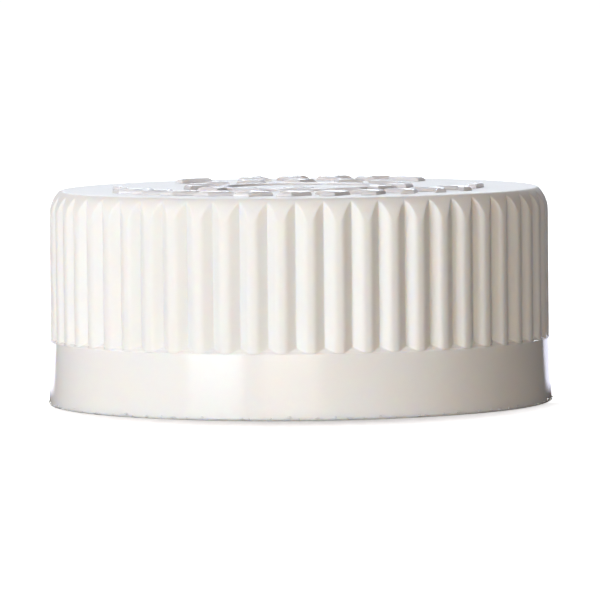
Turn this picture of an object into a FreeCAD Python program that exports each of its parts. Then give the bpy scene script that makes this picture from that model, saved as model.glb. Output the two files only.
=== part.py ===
"""Child-resistant cap, press down and turn, for a neck with a one-turn 38 mm thread.

A ribbed outer cap turns freely around a threaded inner cap. Pressing it down meshes the lugs under its
top with the lugs on the inner cap, and the two then turn together. A soft disc in the inner cap seals
the neck. Millimetres, +Z up, origin at the middle of the rim that the cap stands on.
"""

import FreeCAD
import Part

import math
import os

# Neck thread inside the inner cap: one moulded bead with a flat crest and sloping flanks
thread_root_radius = 18.95
thread_crest_radius = 17.85
thread_pitch = 4.233
thread_crest_width = 1.12
thread_flank_angle = 30.0
thread_turns = 1.25
thread_start_height = 1.65
thread_fade_angle = 26.0

# Neck and sealing disc
neck_depth = 10.3
liner_thickness = 1.0
liner_side_gap = 0.2
liner_play = 0.04
liner_bead_catch = 0.15
liner_bead_height = 0.55

# Inner cap shell
inner_wall = 0.8
inner_panel = 1.1
inner_top_round = 0.7
inner_mouth_chamfer = 0.35
flange_reach = 0.3
flange_height = 0.8
flange_slope_height = 0.5
flange_lead_in = 0.2

# Outer cap shell
shell_gap = 0.15
skirt_wall = 0.59
outer_panel = 1.3
ceiling_round = 0.5
rim_round = 0.2
mouth_chamfer = 0.3
bead_bottom = 0.7
bead_height = 1.3
bead_catch = 0.35
bead_round = 0.2
seat_gap = 0.05

# Outline of the outer cap: a plain band below, ribs above, then a rounded shoulder
rib_count = 56
rib_depth = 0.63
rib_crest_width = 0.76
rib_crest_round = 0.12
rib_root_round = 0.1
band_height = 5.5
band_step = 0.04
band_draft = 0.15
band_slope_height = 0.48
shoulder_height = 2.05
shoulder_reach = 0.93
shoulder_edge_round = 0.22

# Travel and lugs
push_travel = 1.2
lug_gap_up = 0.2
lug_gap_down = 0.1
ceiling_gap_down = 0.3
lug_count = 12
lug_width = 3.2
lug_ramp_width = 1.1
lug_inner_radius = 14.6
lug_edge_margin = 1.5

# Spring fingers on the inner cap, drawn as they lie when the outer cap is pressed down
finger_count = 8
finger_radius = 8.6
finger_breadth = 3.0
finger_length = 5.6
finger_thickness = 0.55
finger_root_length = 1.3
finger_lift = 0.28
finger_tip_round = 0.25

# How far one solid runs into the next where they are joined into one
bite = 0.3

# Heights, from the rim up
bead_top = bead_bottom + bead_height
inner_bottom = bead_top + seat_gap
liner_bottom = inner_bottom + neck_depth
inner_ceiling = liner_bottom + liner_thickness + liner_play
inner_top = inner_ceiling + inner_panel
outer_lug_bottom = inner_top + push_travel + lug_gap_down
inner_lug_top = outer_lug_bottom - lug_gap_up
outer_ceiling = inner_lug_top + push_travel + ceiling_gap_down
outer_top = outer_ceiling + outer_panel
band_slope_top = band_height + band_slope_height
shoulder_bottom = outer_top - shoulder_height

# Radii, from the thread out
inner_outer_radius = thread_root_radius + inner_wall
flange_radius = inner_outer_radius + flange_reach
outer_bore_radius = flange_radius + shell_gap
bead_radius = flange_radius - bead_catch
rib_root_radius = outer_bore_radius + skirt_wall
rib_crest_radius = rib_root_radius + rib_depth
band_top_radius = rib_crest_radius + band_step
band_bottom_radius = band_top_radius + band_draft
top_face_radius = rib_crest_radius - shoulder_reach
liner_radius = thread_root_radius - liner_side_gap
liner_bead_radius = liner_radius - liner_bead_catch
lug_outer_radius = inner_outer_radius - lug_edge_margin

origin = FreeCAD.Vector(0, 0, 0)
up = FreeCAD.Vector(0, 0, 1)


def outline(corners):
    """A flat face in the XZ plane. Each corner is (x, z), or (x, z, radius) where it is rounded."""
    count = len(corners)
    points = [FreeCAD.Vector(corner[0], 0, corner[1]) for corner in corners]
    starts = []
    ends = []
    edges = []
    for index, corner in enumerate(corners):
        point = points[index]
        radius = corner[2] if len(corner) > 2 else 0
        if radius == 0:
            starts.append(point)
            ends.append(point)
            continue
        back = (points[index - 1] - point).normalize()
        ahead = (points[(index + 1) % count] - point).normalize()
        half_angle = back.getAngle(ahead) / 2
        reach = radius / math.tan(half_angle)
        to_centre = (back + ahead).normalize()
        middle = point + to_centre * (radius / math.sin(half_angle) - radius)
        starts.append(point + back * reach)
        ends.append(point + ahead * reach)
        edges.append(Part.Arc(starts[-1], middle, ends[-1]).toShape())
    for index in range(count):
        begin = ends[index]
        finish = starts[(index + 1) % count]
        if begin.distanceToPoint(finish) > 1e-6:
            edges.append(Part.makeLine(begin, finish))
    return Part.Face(Part.Wire(Part.__sortEdges__(edges)))


def turned(corners):
    """A solid of revolution about +Z from a closed outline of (radius, height) corners."""
    return outline(corners).revolve(origin, up, 360)


def block(corners, from_radius, to_radius):
    """A solid that runs out along +X, with an outline of (sideways, height) corners."""
    face = outline(corners)
    face.rotate(origin, up, 90)
    face.translate(FreeCAD.Vector(from_radius, 0, 0))
    return face.extrude(FreeCAD.Vector(to_radius - from_radius, 0, 0))


def ring_of(shape, count, first_angle):
    """Copies of a shape, evenly spaced about +Z."""
    copies = []
    for index in range(count):
        copy = shape.copy()
        copy.rotate(origin, up, first_angle + index * 360.0 / count)
        copies.append(copy)
    return copies


def ribbed_prism(bottom, top):
    """Upright ribs all round: each has a flat crest and slopes down on both sides to a narrow hollow.

    The hollows lie evenly about +X, so one faces each axis when their count divides by four.
    """
    pitch = 2 * math.pi / rib_count
    half_crest = rib_crest_width / 2 / rib_crest_radius
    corners = []
    for index in range(rib_count):
        hollow = index * pitch
        crest = hollow + pitch / 2
        for angle, radius, rounding in (
            (hollow, rib_root_radius, rib_root_round),
            (crest - half_crest, rib_crest_radius, rib_crest_round),
            (crest + half_crest, rib_crest_radius, rib_crest_round),
        ):
            corners.append((radius * math.cos(angle), radius * math.sin(angle), rounding))
    section = outline(corners)
    section.rotate(origin, FreeCAD.Vector(1, 0, 0), -90)
    section.translate(up * bottom)
    return section.extrude(up * (top - bottom))


def shoulder_envelope():
    """The turned outline that the ribs are trimmed to: an upright side, a round shoulder and a flat top."""
    shoulder_round = (shoulder_reach**2 + shoulder_height**2) / (2 * shoulder_reach)
    sweep = math.asin(shoulder_height / shoulder_round) / 2
    centre_radius = rib_crest_radius - shoulder_round
    side = FreeCAD.Vector(rib_crest_radius, 0, shoulder_bottom)
    middle = FreeCAD.Vector(
        centre_radius + shoulder_round * math.cos(sweep),
        0,
        shoulder_bottom + shoulder_round * math.sin(sweep),
    )
    brow = FreeCAD.Vector(top_face_radius, 0, outer_top)
    peak = FreeCAD.Vector(0, 0, outer_top)
    side_foot = FreeCAD.Vector(rib_crest_radius, 0, 0)
    edges = [
        Part.makeLine(origin, side_foot),
        Part.makeLine(side_foot, side),
        Part.Arc(side, middle, brow).toShape(),
        Part.makeLine(brow, peak),
        Part.makeLine(peak, origin),
    ]
    body = Part.Face(Part.Wire(edges)).revolve(origin, up, 360)
    rim = [
        edge
        for edge in body.Edges
        if abs(edge.BoundBox.ZMin - outer_top) < 1e-6 and edge.BoundBox.XLength > top_face_radius
    ]
    return body.makeFillet(shoulder_edge_round, rim)


def make_outer_cap():
    """Ribbed skirt and top, the plain band, the bead that holds the inner cap in, and the hanging lugs."""
    ribs = ribbed_prism(band_height - bite, outer_top + bite).common(shoulder_envelope())
    band = turned(
        [
            (0, 0),
            (band_bottom_radius, 0, rim_round),
            (band_top_radius, band_height),
            (rib_root_radius - bite, band_slope_top + band_slope_height * bite / rib_depth),
            (0, band_slope_top + band_slope_height * bite / rib_depth),
        ]
    )
    bore = turned(
        [
            (0, -bite),
            (outer_bore_radius + mouth_chamfer + bite, -bite),
            (outer_bore_radius, mouth_chamfer),
            (outer_bore_radius, bead_bottom),
            (bead_radius, bead_bottom + bead_height / 2, bead_round),
            (bead_radius, bead_top, bead_round),
            (outer_bore_radius, bead_top),
            (outer_bore_radius, outer_ceiling, ceiling_round),
            (0, outer_ceiling),
        ]
    )
    half_width = lug_width / 2
    lug = block(
        [
            (-half_width, outer_ceiling + bite),
            (-half_width, outer_lug_bottom),
            (half_width - lug_ramp_width, outer_lug_bottom),
            (half_width, outer_ceiling),
            (half_width, outer_ceiling + bite),
        ],
        lug_inner_radius,
        lug_outer_radius,
    )
    shell = ribs.fuse(band).cut(bore)
    return shell.fuse(ring_of(lug, lug_count, 180.0 / lug_count)).removeSplitter()


def thread_quarters():
    """The thread bead, swept a quarter turn at a time, with both ends run out like a lifted cutter."""
    depth = thread_root_radius - thread_crest_radius
    slope = math.tan(math.radians(thread_flank_angle))
    half_crest = thread_crest_width / 2
    inside = thread_crest_radius - bite
    outside = thread_root_radius + bite
    half_inside = half_crest - bite * slope
    half_outside = half_crest + (depth + bite) * slope
    start = inner_bottom + thread_start_height
    rise = thread_pitch / 4
    quarters = []
    for index in range(round(thread_turns * 4)):
        section = Part.Wire(
            Part.makePolygon(
                [
                    FreeCAD.Vector(inside, 0, -half_inside),
                    FreeCAD.Vector(outside, 0, -half_outside),
                    FreeCAD.Vector(outside, 0, half_outside),
                    FreeCAD.Vector(inside, 0, half_inside),
                    FreeCAD.Vector(inside, 0, -half_inside),
                ]
            ).Edges
        )
        path = Part.makeHelix(thread_pitch, rise, thread_root_radius)
        quarter = Part.Wire(path.Edges).makePipeShell([section], True, True)
        quarter = quarter.cut(
            Part.makeCylinder(thread_crest_radius, 4 * thread_pitch, up * (-2 * thread_pitch))
        )
        quarter.rotate(origin, up, index * 90)
        quarter.translate(up * (start + index * rise))
        quarters.append(quarter)

    reach = thread_root_radius + bite / 2
    fade = math.radians(thread_fade_angle)
    offset = (reach**2 - thread_crest_radius**2) / (2 * (reach - thread_crest_radius * math.cos(fade)))
    for quarter_index, end_angle, end_height in (
        (0, 0.0, start),
        (-1, 360.0 * thread_turns, start + thread_turns * thread_pitch),
    ):
        cutter = Part.makeCylinder(
            reach - offset, thread_pitch, FreeCAD.Vector(offset, 0, end_height - thread_pitch / 2)
        )
        cutter.rotate(origin, up, end_angle)
        quarters[quarter_index] = quarters[quarter_index].cut(cutter)
    return quarters


def make_inner_cap():
    """Threaded cup with a catch flange below, drive lugs and spring fingers on top."""
    shell = turned(
        [
            (thread_root_radius + inner_mouth_chamfer, inner_bottom),
            (flange_radius - flange_lead_in, inner_bottom),
            (flange_radius, inner_bottom + flange_lead_in),
            (flange_radius, inner_bottom + flange_height),
            (inner_outer_radius, inner_bottom + flange_height + flange_slope_height),
            (inner_outer_radius, inner_top, inner_top_round),
            (0, inner_top),
            (0, inner_ceiling),
            (thread_root_radius, inner_ceiling),
            (thread_root_radius, liner_bottom - liner_play),
            (liner_bead_radius, liner_bottom - liner_play - liner_bead_height / 2),
            (thread_root_radius, liner_bottom - liner_play - liner_bead_height),
            (thread_root_radius, inner_bottom + inner_mouth_chamfer),
        ]
    )
    half_width = lug_width / 2
    lug = block(
        [
            (-half_width, inner_top - bite),
            (half_width, inner_top - bite),
            (half_width, inner_lug_top),
            (lug_ramp_width - half_width, inner_lug_top),
            (-half_width, inner_top),
        ],
        lug_inner_radius,
        lug_outer_radius,
    )
    finger_top = outer_ceiling - push_travel - lug_gap_down
    half_length = finger_length / 2
    finger = block(
        [
            (-half_length, inner_top - bite),
            (finger_root_length - half_length, inner_top - bite),
            (finger_root_length - half_length, inner_top + finger_lift),
            (half_length, finger_top - finger_thickness, finger_tip_round),
            (half_length, finger_top, finger_tip_round),
            (half_length - finger_thickness, finger_top),
            (-half_length, inner_top + finger_lift + finger_thickness, finger_tip_round),
        ],
        finger_radius,
        finger_radius + finger_breadth,
    )
    top_features = ring_of(lug, lug_count, 0) + ring_of(finger, finger_count, 0)
    return shell.fuse(top_features).removeSplitter().fuse(thread_quarters())


def make_liner():
    """Soft sealing disc, held above the thread by the small bead in the inner cap."""
    return Part.makeCylinder(liner_radius, liner_thickness, up * liner_bottom)


def main():
    os.makedirs("parts", exist_ok=True)
    nodes = {"outer_cap": make_outer_cap(), "inner_cap": make_inner_cap(), "liner": make_liner()}
    for name, shape in nodes.items():
        shape.exportStep(f"parts/{name}.step")
        state = "valid" if shape.isValid() else "not valid"
        print(f"{name}: {len(shape.Solids)} solid, {state}, {shape.Volume:.2f} mm3")


main()
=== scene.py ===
import math

import bpy
from mathutils import Matrix, Vector


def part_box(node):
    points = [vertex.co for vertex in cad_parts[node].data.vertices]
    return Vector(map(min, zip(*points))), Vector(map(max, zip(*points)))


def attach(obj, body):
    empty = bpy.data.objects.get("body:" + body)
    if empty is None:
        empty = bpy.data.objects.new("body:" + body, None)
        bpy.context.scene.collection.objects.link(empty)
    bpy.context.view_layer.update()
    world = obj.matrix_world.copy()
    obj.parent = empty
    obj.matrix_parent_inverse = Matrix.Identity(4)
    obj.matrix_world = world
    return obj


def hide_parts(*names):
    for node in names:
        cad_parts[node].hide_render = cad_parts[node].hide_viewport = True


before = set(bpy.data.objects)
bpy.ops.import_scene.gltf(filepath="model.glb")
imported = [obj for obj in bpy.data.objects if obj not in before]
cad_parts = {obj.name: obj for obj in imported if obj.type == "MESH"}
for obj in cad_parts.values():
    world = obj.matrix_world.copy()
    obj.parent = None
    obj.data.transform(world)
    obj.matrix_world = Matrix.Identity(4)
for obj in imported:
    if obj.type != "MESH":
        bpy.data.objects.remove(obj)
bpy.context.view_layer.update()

mm = 0.001
camera_distance = 535 * mm
camera_height = 41.0 * mm
frame_width = 51.53 * mm
aim = Vector((0.035 * mm, 0, 8.715 * mm))
camera_turn = math.radians(0.8)
camera_roll = math.radians(-0.57)
sensor_width = 36.0
nearest_seen = 0.05
farthest_seen = 50.0

camera_data = bpy.data.cameras.new("photo_camera")
camera_data.sensor_width = sensor_width
camera_data.lens = sensor_width * camera_distance / frame_width
camera_data.clip_start = nearest_seen
camera_data.clip_end = farthest_seen
camera = bpy.data.objects.new("photo_camera", camera_data)
bpy.context.scene.collection.objects.link(camera)
camera.location = Matrix.Rotation(camera_turn, 3, "Z") @ Vector((0, -camera_distance, camera_height))
sight = (aim - camera.location).to_track_quat("-Z", "Y")
camera.rotation_euler = (sight.to_matrix() @ Matrix.Rotation(camera_roll, 3, "Z")).to_euler()
bpy.context.scene.camera = camera
bpy.context.scene.view_settings.view_transform = "Standard"

# The room. The cap stands on a pale paper sheet in front of a white board, among dull warm walls. Board
# and sheet look white to the camera, and the cap's gloss mirrors the lit sheet behind it at its edges.
# The sheet is open under the cap and clear from below, so that the cap's inside can be looked at.
wall_color = (0.33, 0.29, 0.26, 1)
wall_strength = 0.10
board_color = (0.885, 0.87, 1.0, 1)
board_strength = 0.8
board_half_angle = math.radians(26)
board_side_blur = math.radians(1)
board_top = math.radians(36)
board_top_blur = 0.02
paper_color = (0.76, 0.755, 0.745, 1)
paper_glow_near = 0.12
paper_glow_far = 1.0
paper_near = 21.7 * mm
paper_far = 31 * mm
shade_squeeze = (1.25, 1.0, 1.0)
shade_end = -9 * mm
white_start = -3 * mm
fibre_scale = 900.0
fibre_strength = 0.05
fibre_depth = 0.1 * mm
dull_paper_color = (0.15, 0.145, 0.14, 1)
sheet_light = 2.06
sheet_color = (0.815, 0.83, 1.0, 1)
sheet_edge = 21.5 * mm
sheet_edge_blur = 2 * mm
sheet_spread = math.tan(math.radians(29))
sheet_start = 6 * mm
sheet_full = 22 * mm


def new_nodes(owner):
    """Empty the node tree of a material or the world and return its nodes and links."""
    owner.use_nodes = True
    owner.node_tree.nodes.clear()
    return owner.node_tree.nodes, owner.node_tree.links


world = bpy.data.worlds.new("room")
bpy.context.scene.world = world
nodes, links = new_nodes(world)
walls = nodes.new("ShaderNodeBackground")
walls.inputs["Color"].default_value = wall_color
walls.inputs["Strength"].default_value = wall_strength
board = nodes.new("ShaderNodeBackground")
board.inputs["Color"].default_value = board_color
board.inputs["Strength"].default_value = board_strength
backdrop = nodes.new("ShaderNodeBackground")
backdrop.inputs["Color"].default_value = (1, 1, 1, 1)
backdrop.inputs["Strength"].default_value = 1.0
toward = nodes.new("ShaderNodeTexCoord")
heading = nodes.new("ShaderNodeSeparateXYZ")
bearing = nodes.new("ShaderNodeMath")
bearing.operation = "ARCTAN2"
off_middle = nodes.new("ShaderNodeMath")
off_middle.operation = "ABSOLUTE"
board_sides = nodes.new("ShaderNodeMapRange")
board_sides.inputs["From Min"].default_value = board_half_angle - board_side_blur
board_sides.inputs["From Max"].default_value = board_half_angle + board_side_blur
board_sides.inputs["To Min"].default_value = 1.0
board_sides.inputs["To Max"].default_value = 0.0
board_edge = nodes.new("ShaderNodeMapRange")
board_edge.inputs["From Min"].default_value = math.sin(board_top) - board_top_blur
board_edge.inputs["From Max"].default_value = math.sin(board_top) + board_top_blur
board_edge.inputs["To Min"].default_value = 1.0
board_edge.inputs["To Max"].default_value = 0.0
on_board = nodes.new("ShaderNodeMath")
on_board.operation = "MULTIPLY"
around = nodes.new("ShaderNodeMixShader")
room_ray = nodes.new("ShaderNodeLightPath")
room_or_backdrop = nodes.new("ShaderNodeMixShader")
room_output = nodes.new("ShaderNodeOutputWorld")
links.new(toward.outputs["Generated"], heading.inputs[0])
links.new(heading.outputs["X"], bearing.inputs[0])
links.new(heading.outputs["Y"], bearing.inputs[1])
links.new(bearing.outputs[0], off_middle.inputs[0])
links.new(off_middle.outputs[0], board_sides.inputs["Value"])
links.new(heading.outputs["Z"], board_edge.inputs["Value"])
links.new(board_sides.outputs[0], on_board.inputs[0])
links.new(board_edge.outputs[0], on_board.inputs[1])
links.new(on_board.outputs[0], around.inputs["Fac"])
links.new(walls.outputs[0], around.inputs[1])
links.new(board.outputs[0], around.inputs[2])
links.new(room_ray.outputs["Is Camera Ray"], room_or_backdrop.inputs["Fac"])
links.new(around.outputs[0], room_or_backdrop.inputs[1])
links.new(backdrop.outputs[0], room_or_backdrop.inputs[2])
links.new(room_or_backdrop.outputs[0], room_output.inputs["Surface"])

paper = bpy.data.materials.new("paper_sheet")
nodes, links = new_nodes(paper)
place = nodes.new("ShaderNodeTexCoord")
place_xyz = nodes.new("ShaderNodeSeparateXYZ")
paper_ray = nodes.new("ShaderNodeLightPath")
paper_output = nodes.new("ShaderNodeOutputMaterial")
links.new(place.outputs["Object"], place_xyz.inputs[0])

# What the camera sees: matt paper with a fine fibre, and a glow that turns it white away from the cap.
# Close in front of the cap the glow is dimmer, which paints part of the cap's contact shadow on top of the
# paper's real one.
fibre = nodes.new("ShaderNodeTexNoise")
fibre.inputs["Scale"].default_value = fibre_scale
fibre_bump = nodes.new("ShaderNodeBump")
fibre_bump.inputs["Strength"].default_value = fibre_strength
fibre_bump.inputs["Distance"].default_value = fibre_depth
matt = nodes.new("ShaderNodeBsdfDiffuse")
matt.inputs["Color"].default_value = paper_color
squeezed = nodes.new("ShaderNodeVectorMath")
squeezed.operation = "MULTIPLY"
squeezed.inputs[1].default_value = shade_squeeze
from_cap = nodes.new("ShaderNodeVectorMath")
from_cap.operation = "LENGTH"
# Painted shadow: the glow is weakest just in front of the cap and rises to full white farther out.
glow_ramp_painted_shadow = nodes.new("ShaderNodeMapRange")
glow_ramp_painted_shadow.inputs["From Min"].default_value = paper_near
glow_ramp_painted_shadow.inputs["From Max"].default_value = paper_far
glow_ramp_painted_shadow.inputs["To Min"].default_value = paper_glow_near
glow_ramp_painted_shadow.inputs["To Max"].default_value = paper_glow_far
beside = nodes.new("ShaderNodeMapRange")
beside.inputs["From Min"].default_value = shade_end
beside.inputs["From Max"].default_value = white_start
brighter = nodes.new("ShaderNodeMath")
brighter.operation = "MAXIMUM"
glow = nodes.new("ShaderNodeEmission")
matt_and_glow = nodes.new("ShaderNodeAddShader")
links.new(place.outputs["Object"], fibre.inputs["Vector"])
links.new(fibre.outputs[0], fibre_bump.inputs["Height"])
links.new(fibre_bump.outputs["Normal"], matt.inputs["Normal"])
links.new(place.outputs["Object"], squeezed.inputs[0])
links.new(squeezed.outputs[0], from_cap.inputs[0])
links.new(from_cap.outputs["Value"], glow_ramp_painted_shadow.inputs["Value"])
links.new(place_xyz.outputs["Y"], beside.inputs["Value"])
links.new(glow_ramp_painted_shadow.outputs[0], brighter.inputs[0])
links.new(beside.outputs[0], brighter.inputs[1])
links.new(brighter.outputs[0], glow.inputs["Strength"])
links.new(matt.outputs[0], matt_and_glow.inputs[0])
links.new(glow.outputs[0], matt_and_glow.inputs[1])

# What the cap sees: dull paper, and for its gloss a lit fan of the sheet that widens behind the cap.
dull = nodes.new("ShaderNodeBsdfDiffuse")
dull.inputs["Color"].default_value = dull_paper_color
aside = nodes.new("ShaderNodeMath")
aside.operation = "ABSOLUTE"
past_edge = nodes.new("ShaderNodeMath")
past_edge.operation = "MULTIPLY_ADD"
past_edge.inputs[1].default_value = -sheet_spread
in_sheet = nodes.new("ShaderNodeMapRange")
in_sheet.inputs["From Min"].default_value = sheet_edge - sheet_edge_blur
in_sheet.inputs["From Max"].default_value = sheet_edge + sheet_edge_blur
in_sheet.inputs["To Min"].default_value = sheet_light
in_sheet.inputs["To Max"].default_value = 0.0
behind = nodes.new("ShaderNodeMapRange")
behind.inputs["From Min"].default_value = sheet_start
behind.inputs["From Max"].default_value = sheet_full
sheet = nodes.new("ShaderNodeMath")
sheet.operation = "MULTIPLY"
mirrored = nodes.new("ShaderNodeMath")
mirrored.operation = "MULTIPLY"
lit = nodes.new("ShaderNodeEmission")
lit.inputs["Color"].default_value = sheet_color
dull_and_lit = nodes.new("ShaderNodeAddShader")
links.new(place_xyz.outputs["X"], aside.inputs[0])
links.new(place_xyz.outputs["Y"], past_edge.inputs[0])
links.new(aside.outputs[0], past_edge.inputs[2])
links.new(past_edge.outputs[0], in_sheet.inputs["Value"])
links.new(place_xyz.outputs["Y"], behind.inputs["Value"])
links.new(in_sheet.outputs[0], sheet.inputs[0])
links.new(behind.outputs[0], sheet.inputs[1])
links.new(sheet.outputs[0], mirrored.inputs[0])
links.new(paper_ray.outputs["Is Glossy Ray"], mirrored.inputs[1])
links.new(mirrored.outputs[0], lit.inputs["Strength"])
links.new(dull.outputs[0], dull_and_lit.inputs[0])
links.new(lit.outputs[0], dull_and_lit.inputs[1])

upper_face = nodes.new("ShaderNodeMixShader")
side = nodes.new("ShaderNodeNewGeometry")
clear = nodes.new("ShaderNodeBsdfTransparent")
one_way = nodes.new("ShaderNodeMixShader")
links.new(paper_ray.outputs["Is Camera Ray"], upper_face.inputs["Fac"])
links.new(dull_and_lit.outputs[0], upper_face.inputs[1])
links.new(matt_and_glow.outputs[0], upper_face.inputs[2])
links.new(side.outputs["Backfacing"], one_way.inputs["Fac"])
links.new(upper_face.outputs[0], one_way.inputs[1])
links.new(clear.outputs[0], one_way.inputs[2])
links.new(one_way.outputs[0], paper_output.inputs["Surface"])

floor_reach = 6.0
floor_hole = 19 * mm
floor_sides = 96
ring = [2 * math.pi * step / floor_sides for step in range(floor_sides)]
floor_points = [(floor_hole * math.cos(turn), floor_hole * math.sin(turn), 0) for turn in ring]
floor_points += [(floor_reach * math.cos(turn), floor_reach * math.sin(turn), 0) for turn in ring]
floor_faces = []
for step in range(floor_sides):
    following = (step + 1) % floor_sides
    floor_faces.append((step, step + floor_sides, following + floor_sides, following))
floor_data = bpy.data.meshes.new("floor")
floor_data.from_pydata(floor_points, [], floor_faces)
floor_data.materials.append(paper)
floor = bpy.data.objects.new("floor", floor_data)
bpy.context.scene.collection.objects.link(floor)

# The lamps are soft boxes round the cap, turned to its middle. Most of the light comes from the front
# left. Each lamp's numbers are its azimuth and elevation in degrees, its distance, width and height in
# metres, its watts and its colour.
lamp_aim_height = 9 * mm


def softbox(name, azimuth, elevation, distance, width, height, power, color):
    """A flat lamp that faces the cap. Azimuth 0 is the camera's side and positive is to its right."""
    data = bpy.data.lights.new(name, "AREA")
    data.shape = "RECTANGLE"
    data.size = width
    data.size_y = height
    data.energy = power
    data.color = color
    lamp = bpy.data.objects.new(name, data)
    turn = math.radians(azimuth)
    lift = math.radians(elevation)
    lamp.location = (
        distance * math.cos(lift) * math.sin(turn),
        -distance * math.cos(lift) * math.cos(turn),
        lamp_aim_height + distance * math.sin(lift),
    )
    facing = (Vector((0, 0, lamp_aim_height)) - lamp.location).to_track_quat("-Z", "Y")
    lamp.rotation_euler = facing.to_euler()
    lamp.visible_camera = False
    bpy.context.scene.collection.objects.link(lamp)


softbox("key_low", -38, 4, 0.60, 0.27, 0.16, 2.06, (0.78, 0.94, 1.0))
softbox("key_middle", -38, 20, 0.60, 0.27, 0.18, 0.97, (0.99, 0.87, 1.0))
softbox("front_strip", -3, 6, 0.90, 0.40, 0.20, 2.9, (1.0, 0.883, 0.706))
softbox("left_wall", -110, 15, 0.60, 0.30, 0.40, 1.03, (1.0, 0.80, 0.65))
softbox("right_wall", 48, 20, 0.90, 0.40, 0.40, 1.0, (1.0, 0.90, 0.92))
softbox("back_light", 180, 28, 0.80, 0.60, 0.25, 3.5, (0.83, 0.93, 1.0))
softbox("underside_light", -25, -58, 0.50, 0.25, 0.25, 1.6, (1.0, 0.98, 0.96))

# The outer cap: one moulding of white polypropylene, glossy on its band and with a fine texture above it,
# where its colour is made a little darker as painted shade. Its ribs, all alike, run from the band up into
# the rounded shoulder. Inside are the bore, the ceiling and the bead that holds the inner cap.
import bmesh

rib_count = 56
cap_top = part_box("outer_cap")[1].z
crest_radius = 21.42 * mm
crest_width = 0.76 * mm
crest_round = 0.7 * mm
hollow_radius = 20.79 * mm
hollow_round = 0.1 * mm
band_top_radius = 21.46 * mm
band_bottom_radius = 21.61 * mm
band_height = 5.5 * mm
band_slope = 0.73
band_edge_round = 0.05 * mm
rib_foot_round = 0.1 * mm
rib_top_round = 0.14 * mm
shoulder_height = 2.05 * mm
shoulder_reach = 0.93 * mm
shoulder_steps = 7
top_edge_round = 0.16 * mm
bore_radius = 20.2 * mm
bead_radius = 19.7 * mm
bead_low = 0.7 * mm
bead_high = 2.0 * mm
bead_round = 0.12 * mm
bead_top_round = 0.15 * mm
ceiling = 17.09 * mm
ceiling_round = 0.45 * mm
rim_round_up = 0.22 * mm
rim_round_in = 0.2 * mm
mouth_chamfer = 0.3 * mm
most_of_slope = 0.4
support = 0.035 * mm
crest_steps = 5
hollow_steps = 2
flank_shares = (0.08, 0.5, 0.92)


def rounded(corners, steps=4):
    """Points along an outline of corners.

    A corner (x, z) stays sharp. A corner (x, z, reach back, reach ahead) is rounded over those lengths.
    """
    points = []
    for index, corner in enumerate(corners):
        here = Vector(corner[:2])
        if len(corner) == 2:
            points.append(here)
            continue
        before = Vector(corners[index - 1][:2])
        after = Vector(corners[index + 1][:2])
        back = (before - here).normalized()
        ahead = (after - here).normalized()
        start = here + back * corner[2]
        finish = here + ahead * corner[3]
        points.append(start + back * min(support, corner[2]))
        for step in range(steps + 1):
            share = step / steps
            first = start.lerp(here, share)
            second = here.lerp(finish, share)
            points.append(first.lerp(second, share))
        points.append(finish + ahead * min(support, corner[3]))
    return points


shoulder_round = (shoulder_reach**2 + shoulder_height**2) / (2 * shoulder_reach)
shoulder_centre = crest_radius - shoulder_round
shoulder_foot = cap_top - shoulder_height
shoulder_end = math.asin(shoulder_height / shoulder_round)


def on_shoulder(angle):
    """A point of the shoulder's arc, from its foot at angle 0 up to the flat top."""
    return (
        shoulder_centre + shoulder_round * math.cos(angle),
        shoulder_foot + shoulder_round * math.sin(angle),
    )


def cap_outline(rib_radius):
    """The cap's outline where its ribs have this radius, from the middle of the top to the ceiling's."""
    rib_end = math.acos(min(1.0, (rib_radius - shoulder_centre) / shoulder_round))
    edge_angle = shoulder_end - top_edge_round / shoulder_round
    rib_angle = rib_end + (rib_top_round + support) / shoulder_round
    arc_step = (rib_angle - edge_angle) / shoulder_steps
    arc = [on_shoulder(edge_angle + arc_step * step) for step in range(1, shoulder_steps + 1)]
    foot = band_height + (band_top_radius - rib_radius) * band_slope
    slope = (band_top_radius - rib_radius) * math.hypot(1, band_slope)
    foot_reach = min(rib_foot_round, most_of_slope * slope)
    band_reach = min(band_edge_round, most_of_slope * slope)
    corners = [
        (0, cap_top),
        (*on_shoulder(shoulder_end), top_edge_round, top_edge_round),
        *arc,
        (*on_shoulder(rib_end), rib_top_round, rib_top_round),
        (rib_radius, foot, foot_reach, foot_reach),
        (band_top_radius, band_height, band_reach, band_edge_round),
        (band_bottom_radius, 0, rim_round_up, rim_round_in),
        (bore_radius + mouth_chamfer, 0),
        (bore_radius, mouth_chamfer),
        (bore_radius, bead_low),
        (bead_radius, (bead_low + bead_high) / 2, bead_round, bead_round),
        (bead_radius, bead_high, bead_top_round, bead_top_round),
        (bore_radius, bead_high),
        (bore_radius, ceiling, ceiling_round, ceiling_round),
        (0, ceiling),
    ]
    return rounded(corners)


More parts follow.
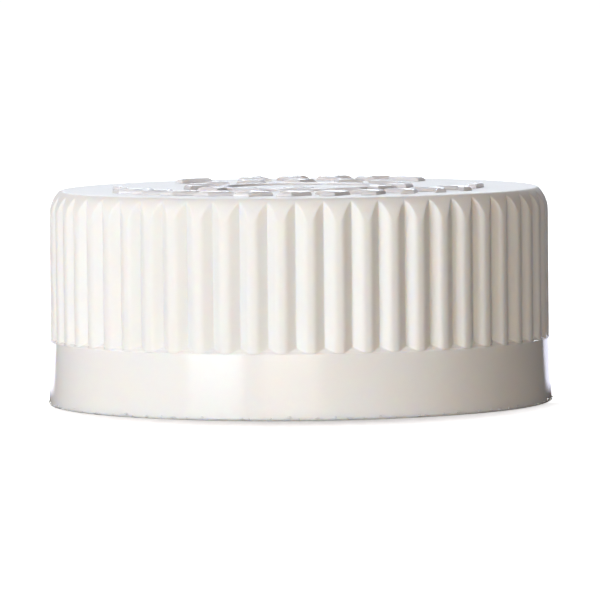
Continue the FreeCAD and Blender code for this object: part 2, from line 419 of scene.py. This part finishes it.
def rib_columns():
    """(angle, radius) across one rib, from the middle of one hollow over the crest to the next."""
    half_pitch = math.pi / rib_count
    crest_corner = Vector((math.sqrt(crest_radius**2 - crest_width**2 / 4), crest_width / 2))
    middle_of_hollow = Vector((math.cos(half_pitch), math.sin(half_pitch)))
    flank = middle_of_hollow * hollow_radius - crest_corner
    lean = math.atan2(-flank.x, flank.y)
    crest_end = crest_corner.y - crest_round * math.tan(lean / 2)
    crest_centre = Vector((crest_corner.x - crest_round, crest_end))
    hollow_centre = middle_of_hollow * (hollow_radius + hollow_round / math.cos(lean - half_pitch))
    points = [Vector((crest_corner.x, 0))]
    for step in range(crest_steps + 1):
        angle = lean * step / crest_steps
        points.append(crest_centre + crest_round * Vector((math.cos(angle), math.sin(angle))))
    flank_start = points[-1]
    flank_end = hollow_centre - hollow_round * Vector((math.cos(lean), math.sin(lean)))
    points += [flank_start.lerp(flank_end, share) for share in flank_shares]
    for step in range(hollow_steps + 1):
        angle = lean + (half_pitch - lean) * step / hollow_steps
        points.append(hollow_centre - hollow_round * Vector((math.cos(angle), math.sin(angle))))
    half = [(math.atan2(point.y, point.x), point.length) for point in points]
    return [(-angle, radius) for angle, radius in reversed(half[1:])] + half


def cap_wedge():
    """One rib's slice of the cap, as a mesh that closes up when it is repeated all round."""
    wedge = bmesh.new()
    rows = []
    for angle, radius in rib_columns():
        turn = angle - math.pi / 2 - math.pi / rib_count
        across = math.cos(turn)
        along = math.sin(turn)
        outline = cap_outline(radius)
        rows.append([wedge.verts.new((point.x * across, point.x * along, point.y)) for point in outline])
    for left, right in zip(rows, rows[1:]):
        for index in range(len(left) - 1):
            wedge.faces.new((left[index], left[index + 1], right[index + 1], right[index]))
    mesh = bpy.data.meshes.new("cap_wedge")
    wedge.to_mesh(mesh)
    wedge.free()
    return mesh


def round_copies_tree():
    """Geometry Nodes that repeat a mesh about +Z and join the copies into one skin."""
    tree = bpy.data.node_groups.new("copies_round_the_axis", "GeometryNodeTree")
    sockets = tree.interface
    sockets.new_socket("Geometry", in_out="INPUT", socket_type="NodeSocketGeometry")
    sockets.new_socket("Count", in_out="INPUT", socket_type="NodeSocketInt")
    sockets.new_socket("First Angle", in_out="INPUT", socket_type="NodeSocketFloat")
    sockets.new_socket("Step Angle", in_out="INPUT", socket_type="NodeSocketFloat")
    sockets.new_socket("Join Distance", in_out="INPUT", socket_type="NodeSocketFloat")
    sockets.new_socket("Material", in_out="INPUT", socket_type="NodeSocketMaterial")
    sockets.new_socket("Geometry", in_out="OUTPUT", socket_type="NodeSocketGeometry")
    entry = tree.nodes.new("NodeGroupInput")
    exit_node = tree.nodes.new("NodeGroupOutput")
    seats = tree.nodes.new("GeometryNodeMeshLine")
    seats.inputs["Offset"].default_value = (0, 0, 0)
    number = tree.nodes.new("GeometryNodeInputIndex")
    swing = tree.nodes.new("ShaderNodeMath")
    swing.operation = "MULTIPLY_ADD"
    turn = tree.nodes.new("ShaderNodeCombineXYZ")
    copies = tree.nodes.new("GeometryNodeInstanceOnPoints")
    real = tree.nodes.new("GeometryNodeRealizeInstances")
    joined = tree.nodes.new("GeometryNodeMergeByDistance")
    coated = tree.nodes.new("GeometryNodeSetMaterial")
    wire = tree.links.new
    wire(entry.outputs["Count"], seats.inputs["Count"])
    wire(number.outputs[0], swing.inputs[0])
    wire(entry.outputs["Step Angle"], swing.inputs[1])
    wire(entry.outputs["First Angle"], swing.inputs[2])
    wire(swing.outputs[0], turn.inputs["Z"])
    wire(seats.outputs["Mesh"], copies.inputs["Points"])
    wire(entry.outputs["Geometry"], copies.inputs["Instance"])
    wire(turn.outputs[0], copies.inputs["Rotation"])
    wire(copies.outputs["Instances"], real.inputs["Geometry"])
    wire(real.outputs["Geometry"], joined.inputs["Geometry"])
    wire(entry.outputs["Join Distance"], joined.inputs["Distance"])
    wire(joined.outputs["Geometry"], coated.inputs["Geometry"])
    wire(entry.outputs["Material"], coated.inputs["Material"])
    wire(coated.outputs["Geometry"], exit_node.inputs["Geometry"])
    return tree


copies_tree = round_copies_tree()
join_distance = 0.0005 * mm
crease_angle = math.radians(32)


def copies_round_axis(name, mesh, count, first_angle, step_angle, material):
    """A piece made of copies of a mesh about +Z, as a plain mesh with its sharp edges marked."""
    piece = bpy.data.objects.new(name, mesh)
    bpy.context.scene.collection.objects.link(piece)
    modifier = piece.modifiers.new("copies", "NODES")
    modifier.node_group = copies_tree
    values = {
        "Count": count,
        "First Angle": first_angle,
        "Step Angle": step_angle,
        "Join Distance": join_distance,
        "Material": material,
    }
    for item in copies_tree.interface.items_tree:
        if item.in_out == "INPUT" and item.name in values:
            modifier[item.identifier] = values[item.name]
    graph = bpy.context.evaluated_depsgraph_get()
    made = bpy.data.meshes.new_from_object(piece.evaluated_get(graph))
    piece.modifiers.remove(modifier)
    piece.data = made
    made.name = name
    made.shade_smooth()
    made.set_sharp_from_angle(angle=crease_angle)
    return piece


cloud_scale = 160.0
cloud_detail = 3.0
cloud_tint = (0.985, 0.978, 0.965)
glossier_share = 0.85
duller_share = 1.2
peel_scale = 700.0
peel_detail = 2.0
flow_scale = (60.0, 60.0, 3200.0)
flow_detail = 2.0
relief_depth = 0.02 * mm
plastic_ior = 1.49
light_reach = (1.0, 0.8, 0.6)
light_depth = 1.0 * mm
gloss_level = 0.5
texture_edge = 0.4 * mm
texture_roughness = 0.45
texture_level = 0.2
# The colour that multiplies the plastic above the band is painted shade, darkening the ribs.
rib_painted_shade = (0.965, 0.965, 0.965, 1)


def moulded_plastic(name, color, roughness, orange_peel, translucence, textured_and_shaded_above=None):
    """White plastic that lets a little light in, its skin faintly waved and streaked by the mould.

    Above some height a mould may carry a fine texture, which makes the plastic duller. There the colour is
    also made a little darker, which is painted shade and not a colour of the plastic.
    """
    material = bpy.data.materials.new(name)
    nodes, links = new_nodes(material)
    cloudy = [channel * share for channel, share in zip(color, cloud_tint)]
    place = nodes.new("ShaderNodeTexCoord")
    clouds = nodes.new("ShaderNodeTexNoise")
    clouds.inputs["Scale"].default_value = cloud_scale
    clouds.inputs["Detail"].default_value = cloud_detail
    tint = nodes.new("ShaderNodeMix")
    tint.data_type = "RGBA"
    tint.inputs["A"].default_value = (*color, 1)
    tint.inputs["B"].default_value = (*cloudy, 1)
    peel = nodes.new("ShaderNodeTexNoise")
    peel.inputs["Scale"].default_value = peel_scale
    peel.inputs["Detail"].default_value = peel_detail
    flow = nodes.new("ShaderNodeMapping")
    flow.inputs["Scale"].default_value = flow_scale
    flow_lines = nodes.new("ShaderNodeTexNoise")
    flow_lines.inputs["Scale"].default_value = 1.0
    flow_lines.inputs["Detail"].default_value = flow_detail
    relief = nodes.new("ShaderNodeMath")
    relief.operation = "ADD"
    gloss = nodes.new("ShaderNodeMapRange")
    gloss.inputs["To Min"].default_value = roughness * glossier_share
    gloss.inputs["To Max"].default_value = roughness * duller_share
    waves = nodes.new("ShaderNodeBump")
    waves.inputs["Strength"].default_value = orange_peel
    waves.inputs["Distance"].default_value = relief_depth
    skin = nodes.new("ShaderNodeBsdfPrincipled")
    skin.inputs["IOR"].default_value = plastic_ior
    skin.inputs["Subsurface Weight"].default_value = translucence
    skin.inputs["Subsurface Radius"].default_value = light_reach
    skin.inputs["Subsurface Scale"].default_value = light_depth
    output = nodes.new("ShaderNodeOutputMaterial")
    links.new(place.outputs["Object"], clouds.inputs["Vector"])
    links.new(place.outputs["Object"], peel.inputs["Vector"])
    links.new(place.outputs["Object"], flow.inputs["Vector"])
    links.new(flow.outputs[0], flow_lines.inputs["Vector"])
    links.new(clouds.outputs[0], tint.inputs["Factor"])
    links.new(tint.outputs["Result"], skin.inputs["Base Color"])
    links.new(clouds.outputs[0], gloss.inputs["Value"])
    links.new(peel.outputs[0], relief.inputs[0])
    links.new(flow_lines.outputs[0], relief.inputs[1])
    links.new(relief.outputs[0], waves.inputs["Height"])
    links.new(waves.outputs["Normal"], skin.inputs["Normal"])
    links.new(skin.outputs[0], output.inputs["Surface"])
    if textured_and_shaded_above is None:
        links.new(gloss.outputs[0], skin.inputs["Roughness"])
        return material
    height = nodes.new("ShaderNodeSeparateXYZ")
    textured_and_shaded = nodes.new("ShaderNodeMapRange")
    textured_and_shaded.inputs["From Min"].default_value = textured_and_shaded_above
    textured_and_shaded.inputs["From Max"].default_value = textured_and_shaded_above + texture_edge
    duller = nodes.new("ShaderNodeMix")
    duller.inputs["B"].default_value = texture_roughness
    level = nodes.new("ShaderNodeMix")
    level.inputs["A"].default_value = gloss_level
    level.inputs["B"].default_value = texture_level
    # Painted shade: above the given height the colour is made darker.
    painted_shade_above = nodes.new("ShaderNodeMix")
    painted_shade_above.data_type = "RGBA"
    painted_shade_above.blend_type = "MULTIPLY"
    painted_shade_above.inputs["B"].default_value = rib_painted_shade
    links.new(place.outputs["Object"], height.inputs[0])
    links.new(height.outputs["Z"], textured_and_shaded.inputs["Value"])
    links.new(textured_and_shaded.outputs[0], duller.inputs["Factor"])
    links.new(textured_and_shaded.outputs[0], level.inputs["Factor"])
    links.new(textured_and_shaded.outputs[0], painted_shade_above.inputs["Factor"])
    links.new(gloss.outputs[0], duller.inputs["A"])
    links.new(tint.outputs["Result"], painted_shade_above.inputs["A"])
    links.new(duller.outputs["Result"], skin.inputs["Roughness"])
    links.new(level.outputs["Result"], skin.inputs["Specular IOR Level"])
    links.new(painted_shade_above.outputs["Result"], skin.inputs["Base Color"])
    return material


cap_white = moulded_plastic(
    "cap_white_polypropylene",
    (0.90, 0.885, 0.865),
    roughness=0.09,
    orange_peel=0.15,
    translucence=0.7,
    textured_and_shaded_above=band_height,
)

full_turn = 2 * math.pi
cap_shell = copies_round_axis(
    "cap_shell", cap_wedge(), rib_count, 0.0, full_turn / rib_count, cap_white
)
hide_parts("outer_cap")
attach(cap_shell, "outer_cap")

# The drive lugs hang from the outer cap's ceiling, moulded with it. Each has one upright side, which
# pushes the inner cap's lug as the cap is screwed on, and one ramp.
lug_count = 12
lug_low = 15.79 * mm
lug_near = 14.6 * mm
lug_far = 18.25 * mm
lug_half_width = 1.6 * mm
lug_ramp = 1.1 * mm
lug_sunk = 0.05 * mm
lug_edge_round = 0.12 * mm


def drive_lug():
    """A lug hanging out along +X, its ramp towards +Y, sunk a little into the ceiling."""
    root = ceiling + lug_sunk
    side = [
        (-lug_half_width, root),
        (-lug_half_width, lug_low),
        (lug_half_width - lug_ramp, lug_low),
        (lug_half_width, ceiling),
        (lug_half_width, root),
    ]
    lug = bmesh.new()
    face = lug.faces.new([lug.verts.new((lug_near, across, height)) for across, height in side])
    raised = bmesh.ops.extrude_face_region(lug, geom=[face], use_keep_orig=True)
    far_verts = [item for item in raised["geom"] if isinstance(item, bmesh.types.BMVert)]
    bmesh.ops.translate(lug, verts=far_verts, vec=(lug_far - lug_near, 0, 0))
    hanging = [edge for edge in lug.edges if min(vert.co.z for vert in edge.verts) < ceiling]
    bmesh.ops.bevel(lug, geom=hanging, offset=lug_edge_round, segments=2, profile=0.5, affect="EDGES")
    bmesh.ops.recalc_face_normals(lug, faces=lug.faces)
    mesh = bpy.data.meshes.new("drive_lug")
    lug.to_mesh(mesh)
    lug.free()
    return mesh


lug_pitch = full_turn / lug_count
drive_lugs = copies_round_axis(
    "drive_lugs", drive_lug(), lug_count, lug_pitch / 2, lug_pitch, cap_white
)
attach(drive_lugs, "outer_cap")

# The raised signs on the top are part of the outer cap's moulding, 0.38 mm high with rounded edges and a
# duller face. Their colour is greyer than the cap's, which is painted shade. The outer ring of them shows
# which way to turn, the inner one where to press.
sign_height = 0.38 * mm
sign_sunk = 0.1 * mm
sign_bevel = 0.28 * mm
turn_ring = 15.55 * mm
press_marks_ring = 8.9 * mm
press_mark_count = 14
# The signs' plastic is coloured greyer than the cap's: painted shade for the dimmer light on their sloped
# faces.
sign_grey_painted_shade = moulded_plastic(
    "sign_polypropylene_painted_shade", (0.78, 0.77, 0.785), roughness=0.25, orange_peel=0.10, translucence=0.5
)


def raised_sign(outline, ring_middle):
    """A raised sign from points (along the ring, out from its middle), bent to the ring about +Z at -Y."""
    sign = bmesh.new()
    foot = []
    for along, out_from_middle in outline:
        radius = ring_middle + out_from_middle * mm
        turn = along * mm / ring_middle - math.pi / 2
        place = (radius * math.cos(turn), radius * math.sin(turn), cap_top - sign_sunk)
        foot.append(sign.verts.new(place))
    face = sign.faces.new(foot)
    sign.normal_update()
    if face.normal.z < 0:
        face.normal_flip()
    raised = bmesh.ops.extrude_face_region(sign, geom=[face])
    top_verts = [item for item in raised["geom"] if isinstance(item, bmesh.types.BMVert)]
    for vert in top_verts:
        vert.co.z = cap_top + sign_height
    face.normal_flip()
    top_edges = [edge for edge in sign.edges if all(vert in top_verts for vert in edge.verts)]
    bmesh.ops.bevel(
        sign, geom=top_edges, offset=sign_bevel, segments=3, profile=0.5, affect="EDGES"
    )
    bmesh.ops.recalc_face_normals(sign, faces=sign.faces)
    mesh = bpy.data.meshes.new("raised_sign")
    sign.to_mesh(mesh)
    sign.free()
    return mesh


# Outlines in millimetres, and then each row of signs with its ring, its number of signs and, in
# degrees, its first sign's place and its pitch.
chevron = [(-1.5, -1.7), (-0.3, -1.7), (1.35, 0.0), (-0.3, 1.7), (-1.5, 1.7), (0.15, 0.0)]
arrowhead = [(-1.3, 1.0), (0.0, -1.3), (1.3, 1.0)]
bar_length = 3.4
bar_half_width = 0.45
bar_steps = 8
bar_row = [bar_length * step / bar_steps for step in range(bar_steps + 1)]
bar = [(-bar_length / 2 + along, -bar_half_width) for along in bar_row]
bar += [(bar_length / 2 - along, bar_half_width) for along in bar_row]
signs = [
    ("turn_chevrons_front", chevron, turn_ring, 11, -60.0, 12.0),
    ("turn_chevrons_back", chevron, turn_ring, 4, 157.0, 13.0),
    ("turn_bars_front", bar, turn_ring, 2, -78.0, 156.0),
    ("turn_bars_back", bar, turn_ring, 2, 143.0, 74.0),
    ("press_marks", arrowhead, press_marks_ring, press_mark_count, 0.0, 360.0 / press_mark_count),
]
for name, outline, ring_middle, count, first, step in signs:
    sign = raised_sign(outline, ring_middle)
    piece = copies_round_axis(name, sign, count, math.radians(first), math.radians(step), sign_grey_painted_shade)
    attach(piece, "outer_cap")

# In the middle of the top are a raised ring, where the palm presses, and the small dimple with a nib that
# the mould's gate leaves. Both are part of the same moulding, and take the signs' greyer colour, which is
# painted shade.
ring_sides = 96
ring_corner_steps = 3
closing_distance = 0.0001 * mm
press_ring = [
    (6.1 * mm, cap_top - 0.1 * mm),
    (6.1 * mm, cap_top + 0.2 * mm, 0.1 * mm, 0.08 * mm),
    (6.9 * mm, cap_top + 0.2 * mm, 0.08 * mm, 0.1 * mm),
    (6.9 * mm, cap_top - 0.1 * mm),
]
gate_mark = [
    (1.35 * mm, cap_top - 0.1 * mm),
    (1.3 * mm, cap_top + 0.07 * mm, 0.06 * mm, 0.08 * mm),
    (1.0 * mm, cap_top + 0.07 * mm, 0.06 * mm, 0.06 * mm),
    (0.9 * mm, cap_top + 0.01 * mm, 0.03 * mm, 0.06 * mm),
    (0.5 * mm, cap_top + 0.01 * mm, 0.06 * mm, 0.04 * mm),
    (0.42 * mm, cap_top + 0.13 * mm, 0.05 * mm, 0.08 * mm),
    (0.0, cap_top + 0.11 * mm),
]


def turned_wedge(name, corners, sides):
    """One side of a turned form, as a mesh that closes up when it is repeated all round."""
    points = rounded(corners, steps=ring_corner_steps)
    wedge = bmesh.new()
    rows = []
    for turn in (-math.pi / sides, math.pi / sides):
        rows.append([wedge.verts.new((p.x * math.cos(turn), p.x * math.sin(turn), p.y)) for p in points])
    left, right = rows
    for index in range(len(points) - 1):
        wedge.faces.new((left[index], left[index + 1], right[index + 1], right[index]))
    bmesh.ops.remove_doubles(wedge, verts=wedge.verts, dist=closing_distance)
    mesh = bpy.data.meshes.new(name)
    wedge.to_mesh(mesh)
    wedge.free()
    return mesh


for name, corners in (("press_ring", press_ring), ("gate_mark", gate_mark)):
    wedge = turned_wedge(name, corners, ring_sides)
    piece = copies_round_axis(name, wedge, ring_sides, 0.0, full_turn / ring_sides, sign_grey_painted_shade)
    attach(piece, "outer_cap")

# Thin flash is left along the rim where the two halves of the mould meet: small flakes of the same
# plastic, uneven in size and spacing.
import random

flake_groups = 9
flakes_in_group = 11
flake_lengths = (0.06, 0.08, 0.12, 0.18, 0.30)
flake_heights = (0.05, 0.11)
flake_seats = (0.12, 0.30)
flake_thickness = 0.12 * mm
flake_lumps = (0.8, 1.15)
flake_tilts = (-0.3, 0.3)
flake_places = (0.1, 0.9)
draw = random.Random(11)


def rim_flakes():
    """The flakes along one share of the rim, from lengths, heights and seats in millimetres."""
    flakes = bmesh.new()
    for index in range(flakes_in_group):
        turn = full_turn / flake_groups * (index + draw.uniform(*flake_places)) / flakes_in_group
        length = draw.choice(flake_lengths) * mm
        height = draw.uniform(*flake_heights) * mm
        ball = bmesh.ops.create_icosphere(flakes, subdivisions=2, radius=1.0)["verts"]
        for vert in ball:
            vert.co *= draw.uniform(*flake_lumps)
        seat = Matrix.Translation((band_bottom_radius, 0, draw.uniform(*flake_seats) * mm))
        tilt = Matrix.Rotation(draw.uniform(*flake_tilts), 4, "X")
        size = Matrix.Diagonal((flake_thickness, length, height, 1))
        on_rim = Matrix.Rotation(turn, 4, "Z") @ seat @ tilt @ size
        bmesh.ops.transform(flakes, matrix=on_rim, verts=ball)
    bmesh.ops.recalc_face_normals(flakes, faces=flakes.faces)
    mesh = bpy.data.meshes.new("rim_flakes")
    flakes.to_mesh(mesh)
    flakes.free()
    return mesh


rim_flash = copies_round_axis(
    "rim_flash", rim_flakes(), flake_groups, 0.0, full_turn / flake_groups, cap_white
)
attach(rim_flash, "outer_cap")

# The liner and the inner cap keep their modelled shape. The liner is a punched disc of white foam, and
# the inner cap a moulding of satin white polypropylene.
foam_white = moulded_plastic(
    "foam_white_polyethylene", (0.88, 0.88, 0.875), roughness=0.6, orange_peel=0.5, translucence=0.3
)
inner_white = moulded_plastic(
    "inner_white_polypropylene", (0.87, 0.865, 0.85), roughness=0.3, orange_peel=0.15, translucence=0.25
)
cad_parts["liner"].data.materials.clear()
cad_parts["liner"].data.materials.append(foam_white)
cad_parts["inner_cap"].data.materials.clear()
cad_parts["inner_cap"].data.materials.append(inner_white)

bpy.context.view_layer.update()
